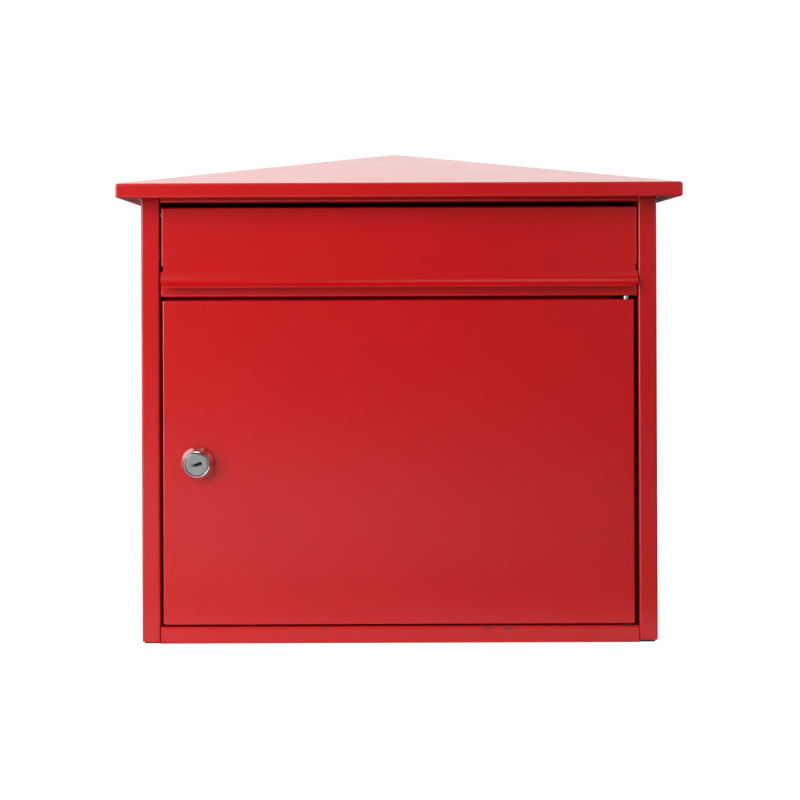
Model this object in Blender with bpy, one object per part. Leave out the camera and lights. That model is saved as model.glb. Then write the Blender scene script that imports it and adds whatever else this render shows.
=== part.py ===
"""Wall letterbox in folded sheet steel: hipped roof, top-hung letter flap, side-hung door, cam lock.

Metres, +Z up, the front faces -Y. x = 0 is the middle of the width, z = 0 is the underside,
and y = 0 is halfway between the roof's front edge and the wall."""

import math

import bmesh
import bpy
from mathutils import Matrix, Vector

# Driving dimensions: the box
MM = 0.001
BODY_WIDTH = 370 * MM
BODY_DEPTH = 180 * MM
ROOF_WIDTH = 400 * MM
ROOF_DEPTH = 200 * MM
EAVE_HEIGHT = 329 * MM
FASCIA_HEIGHT = 10 * MM
HEM_WIDTH = 8 * MM
ROOF_RISE = 37 * MM
SHEET = 1.2 * MM
BEND = 1.7 * MM
BEND_STEPS = 3
BEND_ANGLE = math.radians(35)  # edges sharper than this are folds
GAP = 0.3 * MM
SLIT = 1 * MM  # the relief slits that let a flange end short of its sheet's edge
SLIT_DEPTH = 3 * MM

# The frame round the openings
POST_WIDTH = 13.2 * MM
POST_RETURN = 12 * MM
POST_BOTTOM = {-1: 1.5 * MM, 1: 1.9 * MM}
REAR_FLANGE = 13 * MM
BACK_BOTTOM = 1 * MM
GABLE_FLANGE_INSET = 19 * MM
GABLE_FLANGE_FROM_PEAK = 16 * MM
UPSTAND = 12 * MM
CORNER_RELIEF = 12 * MM
TRAY_POST_CLEARANCE = 2 * MM
SILL_TOP = 12.2 * MM
CROSS_BAR_BOTTOM = 248.6 * MM
CROSS_BAR_TOP = 265.4 * MM
HEADER_BOTTOM = 316.5 * MM
RAIL_RECESS = 1.3 * MM
RAIL_FLANGE = 12.7 * MM
HEADER_FLANGE_HALF = 150 * MM
STOP_SETBACK = 12 * MM
STOP_LIP = 8 * MM
STOP_INSET = 3 * MM
STOP_HINGE_CLEARANCE = 10 * MM
TOP_FLANGE = 20 * MM

# The wall-fixing holes
FIXING_X = 130 * MM
FIXING_Z = (60 * MM, 285 * MM)
FIXING_RADIUS = 3.5 * MM
CUT_PAST = 3 * MM  # how far a hole's cutter runs past the middle of its sheet

# The door and its hinge
DOOR_SHEET = 1.0 * MM
DOOR_BEND = 1.5 * MM
DOOR_LEFT = -169.8 * MM
DOOR_RIGHT = 168.8 * MM
DOOR_BOTTOM = 13.5 * MM
DOOR_TOP = 246.3 * MM
DOOR_RETURN = 10 * MM
HINGE_X = 163.6 * MM
HINGE_SETBACK = 5 * MM
PIN_RADIUS = 2 * MM
PIN_CHAMFER = 0.6 * MM
PIN_LENGTH = 15 * MM
PIN_SUNK = 4 * MM
WASHER_RADIUS = 5 * MM
WASHER_HEIGHT = 0.7 * MM

# The letter flap and its rod
FLAP_LEFT = -170.3 * MM
FLAP_RIGHT = 170.9 * MM
FLAP_TOP = 312.9 * MM
FLAP_NOTCH_TOP = 271 * MM
FLAP_NOTCH = 1.3 * MM
FLAP_BEND = 1.1 * MM
LIP_START = 266.8 * MM
LIP_WIDER = 0.5 * MM
LIP_RADIUS = 12 * MM
LIP_ANGLE = math.radians(60)
LIP_STEPS = 6
LIP_CORNER = 5.5 * MM
FLAP_RETURN_TOP = 10 * MM
FLAP_RETURN_BOTTOM = 5 * MM
ROD_SETBACK = 6 * MM
ROD_Z = 308 * MM
ROD_RADIUS = 2 * MM
ROD_HALF = 179 * MM
BUSH_RADIUS = 3.2 * MM
BUSH_FLANGE_RADIUS = 4.2 * MM
BUSH_FLANGE = 1 * MM
BUSH_END = 0.6 * MM
BUSH_SLEEVE_PAST = 0.5 * MM
CLIP_RADIUS = 3.8 * MM
CLIP_HEIGHT = 0.8 * MM
FLAP_BUFFER_X = 145.5 * MM
FLAP_BUFFER_Z = {-1: 259.6 * MM, 1: 258.6 * MM}
FLAP_BUFFER_RADIUS = 2.5 * MM
FLAP_BUFFER_HEIGHT = 0.8 * MM
FLAP_BUFFER_CHAMFER = 0.3 * MM
DOOR_BUFFER_X = -120 * MM
DOOR_BUFFER_RADIUS = 3 * MM
DOOR_BUFFER_HEIGHT = 1.3 * MM
DOOR_BUFFER_CHAMFER = 0.4 * MM
DOOR_BUFFER_OFFSET = 1 * MM

# The cam lock
LOCK_X = -144.7 * MM
LOCK_Z = 129.4 * MM
LOCK_BASE_RADIUS = 12 * MM
LOCK_FACE_RADIUS = 9.5 * MM
LOCK_PROUD = 7 * MM
LOCK_CHAMFER = 0.6 * MM
LOCK_SKIRT_FLARE = 1.2 * MM
LOCK_SKIRT_FOOT = 2 * MM
LOCK_RIM = 0.8 * MM
BARREL_RADIUS = 9.4 * MM
BARREL_LENGTH = 13.5 * MM
PLUG_RADIUS = 7.9 * MM
PLUG_SUNK = 0.4 * MM
KEYWAY_LENGTH = 7.5 * MM
KEYWAY_WIDTH = 1.8 * MM
KEYWAY_DEPTH = 12 * MM
KEYWAY_TILT = math.radians(9)
NUT_RADIUS = 13.4 * MM
NUT_HEIGHT = 4.5 * MM
GASKET_RADIUS = 11.6 * MM
GASKET_HEIGHT = 0.8 * MM
STUD_RADIUS = 4 * MM
STUD_SHORT = 0.2 * MM
CAM_THICKNESS = 2 * MM
CAM_WIDTH = 14 * MM
CAM_REACH = 34 * MM
CAM_CORNER = 2 * MM
CAM_ARC_STEPS = 12
CAM_WASHER_RADIUS = 5.5 * MM
CAM_WASHER_HEIGHT = 0.8 * MM
SCREW_RADIUS = 2 * MM
SCREW_HEAD_RADIUS = 4 * MM
SCREW_HEAD = 2.6 * MM
SCREW_DEPTH = 7 * MM
SCREW_BORE_PAST = 1 * MM
SCREW_CROWN = 0.6  # the share of the head that is straight, up and across

# Worked out from the driving dimensions
WALL_Y = ROOF_DEPTH / 2
FRONT_Y = WALL_Y - BODY_DEPTH
ROOF_FRONT_Y = -ROOF_DEPTH / 2
HALF_BODY = BODY_WIDTH / 2
HALF_ROOF = ROOF_WIDTH / 2
POST_INNER = HALF_BODY - POST_WIDTH
RAIL_HALF = POST_INNER - GAP
RAIL_Y = FRONT_Y + RAIL_RECESS
STOP_Y = FRONT_Y + STOP_SETBACK
SLOPE = ROOF_RISE / HALF_ROOF
ROOF_DROP = SHEET * math.hypot(1, SLOPE) + GAP
BACK_INNER_Y = WALL_Y - SHEET
SIDE_REAR_Y = BACK_INNER_Y - GAP
TRAY_REAR_Y = SIDE_REAR_Y - SHEET - GAP
TRAY_HALF = HALF_BODY - SHEET - GAP
HINGE_Y = FRONT_Y + HINGE_SETBACK
STOP_LEFT = -RAIL_HALF + STOP_INSET
STOP_RIGHT = HINGE_X - STOP_HINGE_CLEARANCE
ROD_Y = FRONT_Y + ROD_SETBACK
DOOR_PIVOT = Vector((HINGE_X, HINGE_Y, 0))
FLAP_PIVOT = Vector((0, ROD_Y, ROD_Z))
LOCK_PIVOT = Vector((LOCK_X, FRONT_Y, LOCK_Z))
ORIGIN = Vector((0, 0, 0))

# Colour, roughness and metallic value of each finish
RED_PAINT = ((0.50, 0.012, 0.012, 1), 0.38, 0.0)
CHROME = ((0.62, 0.62, 0.62, 1), 0.12, 1.0)
ZINC = ((0.55, 0.56, 0.57, 1), 0.35, 1.0)
NYLON = ((0.045, 0.045, 0.045, 1), 0.50, 0.0)
RUBBER = ((0.03, 0.03, 0.03, 1), 0.75, 0.0)


def clear_scene():
    for obj in list(bpy.data.objects):
        bpy.data.objects.remove(obj, do_unlink=True)


def finish_material(name, finish):
    colour, roughness, metallic = finish
    material = bpy.data.materials.new(name + "_finish")
    material.use_nodes = True
    shader = material.node_tree.nodes["Principled BSDF"]
    shader.inputs["Base Color"].default_value = colour
    shader.inputs["Roughness"].default_value = roughness
    shader.inputs["Metallic"].default_value = metallic
    return material


def add_pivot(name, place, parent=None):
    """An empty on a joint's axis, which the pieces that turn there are parented to."""
    pivot = bpy.data.objects.new(name, None)
    bpy.context.scene.collection.objects.link(pivot)
    pivot.parent = parent
    pivot.location = place - parent.location if parent else place
    return pivot


def add_piece(name, shape, finish, pivot=None, pivot_place=ORIGIN):
    """Makes the object from a bmesh in world coordinates, with its origin on its pivot."""
    bmesh.ops.translate(shape, vec=-pivot_place, verts=shape.verts)
    mesh = bpy.data.meshes.new(name)
    shape.to_mesh(mesh)
    shape.free()
    piece = bpy.data.objects.new(name, mesh)
    bpy.context.scene.collection.objects.link(piece)
    if pivot:
        piece.parent = pivot
    else:
        piece.location = pivot_place
    if finish:
        mesh.materials.append(finish_material(name, finish))
    return piece


def smooth(piece):
    piece.data.shade_smooth()
    piece.data.set_sharp_from_angle(angle=BEND_ANGLE)


def cells(us, vs, place, skip=()):
    """The four-cornered panels between the values us and vs, without those (u, v) cells in skip."""
    found = []
    for i, (u0, u1) in enumerate(zip(us, us[1:])):
        for j, (v0, v1) in enumerate(zip(vs, vs[1:])):
            if (i, j) not in skip:
                found.append([place(u0, v0), place(u1, v0), place(u1, v1), place(u0, v1)])
    return found


def skin_of(panels, outward):
    """One surface from flat panels that share corners. outward is the first panel's normal, roughly."""
    shape = bmesh.new()
    made = {}
    for panel in panels:
        corners = []
        for point in panel:
            key = tuple(round(value, 7) for value in point)
            if key not in made:
                made[key] = shape.verts.new(point)
            corners.append(made[key])
        shape.faces.new(corners)
    shape.faces.ensure_lookup_table()
    bmesh.ops.recalc_face_normals(shape, faces=shape.faces)
    if shape.faces[0].normal.dot(Vector(outward)) < 0:
        bmesh.ops.reverse_faces(shape, faces=shape.faces)
    return shape


def folded_sheet(name, panels, outward, thickness=SHEET, bend=BEND, **place):
    """Sheet metal whose outer skin is the panels: its folds are rounded, then it gets its thickness."""
    piece = add_piece(name, skin_of(panels, outward), RED_PAINT, **place)
    folds = piece.modifiers.new("folds", "BEVEL")
    folds.width = bend
    folds.segments = BEND_STEPS
    folds.limit_method = "ANGLE"
    folds.angle_limit = BEND_ANGLE
    gauge = piece.modifiers.new("gauge", "SOLIDIFY")
    gauge.thickness = thickness
    gauge.offset = -1
    gauge.use_even_offset = True
    gauge.use_quality_normals = True
    return piece


def cut(piece, cutter):
    cutter.hide_render = True
    cutter.display_type = "WIRE"
    boolean = piece.modifiers.new("cut_" + cutter.name, "BOOLEAN")
    boolean.operation = "DIFFERENCE"
    boolean.solver = "EXACT"
    boolean.object = cutter


def rod_shape(radius, start, end, sides=24):
    """A closed cylinder from the point start to the point end."""
    start, end = Vector(start), Vector(end)
    along = end - start
    turn = along.to_track_quat("Z", "Y").to_matrix().to_4x4()
    shape = bmesh.new()
    bmesh.ops.create_cone(
        shape,
        cap_ends=True,
        segments=sides,
        radius1=radius,
        radius2=radius,
        depth=along.length,
        matrix=Matrix.Translation((start + end) / 2) @ turn,
    )
    return shape


def hole_cutter(name, radius, start, end, sides=24):
    return add_piece(name, rod_shape(radius, start, end, sides), None)


def turned_shape(profile, centre, axis, sides=32):
    """A solid turned about an axis through centre, from a closed list of (radius, along) pairs."""
    axis = Vector(axis)
    side = axis.orthogonal().normalized()
    shape = bmesh.new()
    ring = [shape.verts.new(Vector(centre) + side * radius + axis * along) for radius, along in profile]
    edges = [shape.edges.new((ring[i - 1], ring[i])) for i in range(len(ring))]
    bmesh.ops.spin(
        shape,
        geom=ring + edges,
        cent=Vector(centre),
        axis=axis,
        angle=2 * math.pi,
        steps=sides,
        use_merge=True,
    )
    bmesh.ops.remove_doubles(shape, verts=shape.verts, dist=1e-6)
    bmesh.ops.dissolve_degenerate(shape, edges=shape.edges, dist=1e-7)
    bmesh.ops.recalc_face_normals(shape, faces=shape.faces)
    return shape


def turned(name, profile, centre, axis, finish, sides=32, **place):
    piece = add_piece(name, turned_shape(profile, centre, axis, sides), finish, **place)
    smooth(piece)
    return piece


def roof_underside(inset):
    """Height of the space under the roof sheet, this far in from an eave."""
    return EAVE_HEIGHT + inset * SLOPE - ROOF_DROP


def make_roof():
    def eave_ring(inset, z):
        front = ROOF_FRONT_Y + inset
        half = HALF_ROOF - inset
        return [(-half, WALL_Y, z), (-half, front, z), (half, front, z), (half, WALL_Y, z)]

    apex = (0, WALL_Y, EAVE_HEIGHT + ROOF_RISE)
    rings = [
        eave_ring(0, EAVE_HEIGHT),
        eave_ring(0, EAVE_HEIGHT - FASCIA_HEIGHT),
        eave_ring(HEM_WIDTH, EAVE_HEIGHT - FASCIA_HEIGHT),
    ]
    panels = [[rings[0][1], rings[0][2], apex], [rings[0][0], rings[0][1], apex]]
    panels.append([rings[0][2], rings[0][3], apex])
    for upper, lower in zip(rings, rings[1:]):
        for i in range(3):
            panels.append([upper[i], upper[i + 1], lower[i + 1], lower[i]])
    folded_sheet("roof", panels, (0, 0, 1))


def make_side_panel(name, side):
    top = roof_underside(HALF_ROOF - HALF_BODY)
    heights = [POST_BOTTOM[side], top - SLIT_DEPTH, top]
    flange_front = FRONT_Y + TOP_FLANGE
    flange_rear = WALL_Y - TOP_FLANGE
    flange_x = HALF_BODY - TOP_FLANGE
    depths = [FRONT_Y, flange_front - SLIT, flange_front, flange_rear, flange_rear + SLIT, SIDE_REAR_Y]
    wall = cells(depths, heights, lambda y, z: (side * HALF_BODY, y, z), skip=((1, 1), (3, 1)))
    returns = cells([STOP_Y, FRONT_Y], heights, lambda y, z: (side * POST_INNER, y, z))
    post = cells([POST_INNER, HALF_BODY], heights, lambda x, z: (side * x, FRONT_Y, z))
    rear = cells(
        [HALF_BODY, HALF_BODY - REAR_FLANGE], heights, lambda x, z: (side * x, SIDE_REAR_Y, z)
    )
    top_flange = [
        [
            (side * HALF_BODY, flange_front, top),
            (side * HALF_BODY, flange_rear, top),
            (side * flange_x, flange_rear, top + TOP_FLANGE * SLOPE),
            (side * flange_x, flange_front, top + TOP_FLANGE * SLOPE),
        ]
    ]
    panel = folded_sheet(name, wall + returns + post + rear + top_flange, (side, 0, 0))
    inner, outer = (
        (side * (POST_INNER + SHEET / 2 + past), ROD_Y, ROD_Z) for past in (-CUT_PAST, CUT_PAST)
    )
    cut(panel, hole_cutter(name + "_bush_hole", BUSH_RADIUS + GAP, inner, outer))


def make_back_panel():
    def gable(x):
        return roof_underside(HALF_ROOF - abs(x))

    half = HALF_BODY - GAP
    outer, inner = half - GABLE_FLANGE_INSET, GABLE_FLANGE_FROM_PEAK
    right = [(half, BACK_BOTTOM), (half, gable(half))]
    for x, sunk in (
        (outer + SLIT, 0),
        (outer + SLIT, 1),
        (outer, 1),
        (outer, 0),
        (inner, 0),
        (inner, 1),
        (inner - SLIT, 1),
        (inner - SLIT, 0),
    ):
        right.append((x, gable(x) - sunk * SLIT_DEPTH))
    left = [(-x, z) for x, z in reversed(right)]
    outline = [(x, WALL_Y, z) for x, z in right + [(0, gable(0))] + left]
    panels = [outline]
    flange_y = WALL_Y - UPSTAND
    for side in (-1, 1):
        low, high = (side * outer, gable(outer)), (side * inner, gable(inner))
        panels.append(
            [
                (low[0], WALL_Y, low[1]),
                (high[0], WALL_Y, high[1]),
                (high[0], flange_y, high[1]),
                (low[0], flange_y, low[1]),
            ]
        )
    panel = folded_sheet("back_panel", panels, (0, 1, 0))
    for i, x in enumerate((-FIXING_X, FIXING_X)):
        for j, z in enumerate(FIXING_Z):
            start, end = (x, WALL_Y - CUT_PAST, z), (x, WALL_Y + CUT_PAST, z)
            cut(panel, hole_cutter(f"fixing_hole_{i}{j}", FIXING_RADIUS, start, end))


def make_base_tray():
    xs = [TRAY_HALF, TRAY_HALF - SLIT_DEPTH, RAIL_HALF + SLIT, RAIL_HALF]
    xs = [-x for x in xs] + xs[::-1]
    rear_of_post = FRONT_Y + POST_RETURN + TRAY_POST_CLEARANCE
    ys = [FRONT_Y, FRONT_Y + SLIT_DEPTH, rear_of_post, rear_of_post + SLIT]
    ys += [TRAY_REAR_Y - CORNER_RELIEF, TRAY_REAR_Y]
    under_posts = [(i, 0) for i in (0, 1, 2, 4, 5, 6)]
    skip = under_posts + [(0, 2), (6, 2), (0, 4), (6, 4)]
    panels = cells(xs, ys, lambda x, y: (x, y, 0), skip)
    for side in (-1, 1):
        panels += cells(ys[3:5], [0, UPSTAND], lambda y, z, s=side: (s * TRAY_HALF, y, z))
    panels += cells(xs[1:-1], [0, UPSTAND], lambda x, z: (x, TRAY_REAR_Y, z))
    front = [-RAIL_HALF, STOP_LEFT, STOP_RIGHT, RAIL_HALF]
    strip = [(-RAIL_HALF, FRONT_Y, 0), (RAIL_HALF, FRONT_Y, 0)]
    panels.append(strip + [(x, FRONT_Y, SILL_TOP) for x in reversed(front)])
    panels += cells(front, [FRONT_Y, STOP_Y], lambda x, y: (x, y, SILL_TOP))
    lip = [SILL_TOP, SILL_TOP + STOP_LIP]
    panels += cells([STOP_LEFT, STOP_RIGHT], lip, lambda x, z: (x, STOP_Y, z))
    tray = folded_sheet("base_tray", panels, (0, 0, -1))
    start = (HINGE_X, HINGE_Y, SILL_TOP - CUT_PAST)
    end = (HINGE_X, HINGE_Y, SILL_TOP + CUT_PAST)
    cut(tray, hole_cutter("sill_pin_hole", PIN_RADIUS + GAP, start, end, 20))


def make_header_rail():
    half, slit = HEADER_FLANGE_HALF, HEADER_FLANGE_HALF + SLIT
    xs = [-RAIL_HALF, -slit, -half, half, slit, RAIL_HALF]
    top = roof_underside(RAIL_Y - ROOF_FRONT_Y)
    heights = [HEADER_BOTTOM, top - SLIT_DEPTH, top]
    panels = cells(xs, heights, lambda x, z: (x, RAIL_Y, z), skip=((1, 1), (3, 1)))
    panels += cells(xs, [RAIL_Y, RAIL_Y + RAIL_FLANGE], lambda x, y: (x, y, HEADER_BOTTOM))
    flange_y = [RAIL_Y, RAIL_Y + TOP_FLANGE]
    panels += cells([-half, half], flange_y, lambda x, y: (x, y, top + (y - RAIL_Y) * SLOPE))
    folded_sheet("header_rail", panels, (0, -1, 0))


def make_cross_bar():
    """A channel with closed ends, and a stop lip for the door hanging from its lower flange."""
    xs = [-RAIL_HALF, STOP_LEFT, STOP_RIGHT, RAIL_HALF]
    heights = [CROSS_BAR_BOTTOM, CROSS_BAR_TOP]
    depths = [RAIL_Y, STOP_Y]
    panels = cells(xs, heights, lambda x, z: (x, RAIL_Y, z))
    for z in heights:
        panels += cells(xs, depths, lambda x, y, z=z: (x, y, z))
    for x in (-RAIL_HALF, RAIL_HALF):
        panels += cells(depths, heights, lambda y, z, x=x: (x, y, z))
    lip = [CROSS_BAR_BOTTOM, CROSS_BAR_BOTTOM - STOP_LIP]
    panels += cells([STOP_LEFT, STOP_RIGHT], lip, lambda x, z: (x, STOP_Y, z))
    bar = folded_sheet("cross_bar", panels, (0, -1, 0))
    start = (HINGE_X, HINGE_Y, CROSS_BAR_BOTTOM - CUT_PAST)
    end = (HINGE_X, HINGE_Y, CROSS_BAR_BOTTOM + CUT_PAST)
    cut(bar, hole_cutter("bar_pin_hole", PIN_RADIUS + GAP, start, end, 20))


def lip_corner_inset(from_edge):
    """How far the lip's rounded corner pulls in its side, this far up from its edge."""
    if from_edge >= LIP_CORNER:
        return 0
    return LIP_CORNER - math.sqrt(LIP_CORNER**2 - (LIP_CORNER - from_edge) ** 2)


def make_flap(pivot):
    zone = LIP_CORNER + SLIT
    xs = [FLAP_LEFT, FLAP_LEFT + FLAP_NOTCH, FLAP_LEFT + zone]
    xs += [FLAP_RIGHT - zone, FLAP_RIGHT - FLAP_NOTCH, FLAP_RIGHT]
    rows = [(FRONT_Y, FLAP_TOP), (FRONT_Y, FLAP_NOTCH_TOP), (FRONT_Y, LIP_START)]
    for step in range(1, LIP_STEPS + 1):
        angle = LIP_ANGLE * step / LIP_STEPS
        y = FRONT_Y - LIP_RADIUS * (1 - math.cos(angle))
        rows.append((y, LIP_START - LIP_RADIUS * math.sin(angle)))

    def place(x, row):
        y, z = rows[row]
        from_edge = LIP_RADIUS * LIP_ANGLE * (len(rows) - 1 - row) / LIP_STEPS
        inset = lip_corner_inset(from_edge) - LIP_WIDER if row > 1 else 0
        share = max(0, 1 - min(x - FLAP_LEFT, FLAP_RIGHT - x) / zone)
        return (x - math.copysign(1, x) * inset * share, y, z)

    panels = cells(xs, range(len(rows)), place, skip=((0, 1), (4, 1)))
    panels += cells(xs, [FRONT_Y, FRONT_Y + FLAP_RETURN_TOP], lambda x, y: (x, y, FLAP_TOP))
    for x in (FLAP_LEFT, FLAP_RIGHT):
        panels.append(
            [
                (x, FRONT_Y, FLAP_TOP),
                (x, FRONT_Y, FLAP_NOTCH_TOP),
                (x, FRONT_Y + FLAP_RETURN_BOTTOM, FLAP_NOTCH_TOP),
                (x, FRONT_Y + FLAP_RETURN_TOP, FLAP_TOP),
            ]
        )
    flap = folded_sheet(
        "flap", panels, (0, -1, 0), DOOR_SHEET, FLAP_BEND, pivot=pivot, pivot_place=FLAP_PIVOT
    )
    for word, x in (("left", FLAP_LEFT), ("right", FLAP_RIGHT)):
        start, end = (x - CUT_PAST, ROD_Y, ROD_Z), (x + CUT_PAST, ROD_Y, ROD_Z)
        cut(flap, hole_cutter(f"flap_{word}_ear_hole", ROD_RADIUS + GAP, start, end, 20))


def make_flap_rod(pivot):
    shape = rod_shape(ROD_RADIUS, (-ROD_HALF, ROD_Y, ROD_Z), (ROD_HALF, ROD_Y, ROD_Z), 20)
    rod = add_piece("flap_rod", shape, ZINC, pivot=pivot, pivot_place=FLAP_PIVOT)
    smooth(rod)
    for name, side in (("left", -1), ("right", 1)):
        sleeve = POST_INNER - BUSH_SLEEVE_PAST
        flange = POST_INNER + SHEET + GAP
        end = flange + BUSH_FLANGE + BUSH_END
        bore = ROD_RADIUS + GAP
        profile = [
            (bore, sleeve),
            (BUSH_RADIUS, sleeve),
            (BUSH_RADIUS, flange),
            (BUSH_FLANGE_RADIUS, flange),
            (BUSH_FLANGE_RADIUS, flange + BUSH_FLANGE),
            (BUSH_RADIUS, flange + BUSH_FLANGE),
            (BUSH_RADIUS, end),
            (bore, end),
        ]
        centre = (0, ROD_Y, ROD_Z)
        turned("flap_bush_" + name, profile, centre, (side, 0, 0), NYLON, 20)
        near, far = end + GAP, end + GAP + CLIP_HEIGHT
        clip = [(bore, near), (CLIP_RADIUS, near), (CLIP_RADIUS, far), (bore, far)]
        turned(
            "flap_clip_" + name,
            clip,
            centre,
            (side, 0, 0),
            ZINC,
            20,
            pivot=pivot,
            pivot_place=FLAP_PIVOT,
        )


def make_buffer(name, centre, radius, height, chamfer):
    """A rubber button stuck on the front of a sheet, its edge sloped twice as far in as down."""
    front = GAP + height
    profile = [(0, GAP), (radius, GAP), (radius, front - chamfer), (radius - 2 * chamfer, front)]
    turned(name, profile + [(0, front)], centre, (0, -1, 0), RUBBER, 16)


def make_buffers():
    flap_size = (FLAP_BUFFER_RADIUS, FLAP_BUFFER_HEIGHT, FLAP_BUFFER_CHAMFER)
    for word, side in (("left", -1), ("right", 1)):
        centre = (side * FLAP_BUFFER_X, RAIL_Y, FLAP_BUFFER_Z[side])
        make_buffer("flap_buffer_" + word, centre, *flap_size)
    door_size = (DOOR_BUFFER_RADIUS, DOOR_BUFFER_HEIGHT, DOOR_BUFFER_CHAMFER)
    from_fold = STOP_LIP / 2 + DOOR_BUFFER_OFFSET
    for word, z in (("top", CROSS_BAR_BOTTOM - from_fold), ("bottom", SILL_TOP + from_fold)):
        make_buffer("door_buffer_" + word, (DOOR_BUFFER_X, STOP_Y, z), *door_size)


def make_door(pivot):
    xs, zs = [DOOR_LEFT, DOOR_RIGHT], [DOOR_BOTTOM, DOOR_TOP]
    ys = [FRONT_Y, FRONT_Y + DOOR_RETURN]
    panels = cells(xs, zs, lambda x, z: (x, FRONT_Y, z))
    for x in xs:
        panels += cells(ys, zs, lambda y, z, x=x: (x, y, z))
    for z in zs:
        panels += cells(xs, ys, lambda x, y, z=z: (x, y, z))
    door = folded_sheet(
        "door", panels, (0, -1, 0), DOOR_SHEET, DOOR_BEND, pivot=pivot, pivot_place=DOOR_PIVOT
    )
    for name, z in (("bottom", DOOR_BOTTOM), ("top", DOOR_TOP)):
        start, end = (HINGE_X, HINGE_Y, z - CUT_PAST), (HINGE_X, HINGE_Y, z + CUT_PAST)
        cut(door, hole_cutter("door_pin_hole_" + name, PIN_RADIUS + GAP, start, end, 20))
    start, end = (LOCK_X, FRONT_Y - CUT_PAST, LOCK_Z), (LOCK_X, FRONT_Y + CUT_PAST, LOCK_Z)
    cut(door, hole_cutter("lock_hole", BARREL_RADIUS + GAP, start, end, 32))


def make_hinge_pins():
    """Plain pins pressed into the cross bar and the sill, and the washer that carries the door."""
    for name, inner_face, along in (
        ("top", CROSS_BAR_BOTTOM + SHEET, -1),
        ("bottom", SILL_TOP - SHEET, 1),
    ):
        start, end = -PIN_SUNK, PIN_LENGTH - PIN_SUNK
        narrow = PIN_RADIUS - PIN_CHAMFER
        profile = [
            (0, start),
            (narrow, start),
            (PIN_RADIUS, start + PIN_CHAMFER),
            (PIN_RADIUS, end - PIN_CHAMFER),
            (narrow, end),
            (0, end),
        ]
        turned("door_pin_" + name, profile, (HINGE_X, HINGE_Y, inner_face), (0, 0, along), ZINC, 20)
    low, high = GAP, GAP + WASHER_HEIGHT
    bore = PIN_RADIUS + GAP
    washer = [(bore, low), (WASHER_RADIUS, low), (WASHER_RADIUS, high), (bore, high)]
    turned("door_washer", washer, (HINGE_X, HINGE_Y, SILL_TOP), (0, 0, 1), NYLON, 20)


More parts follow.
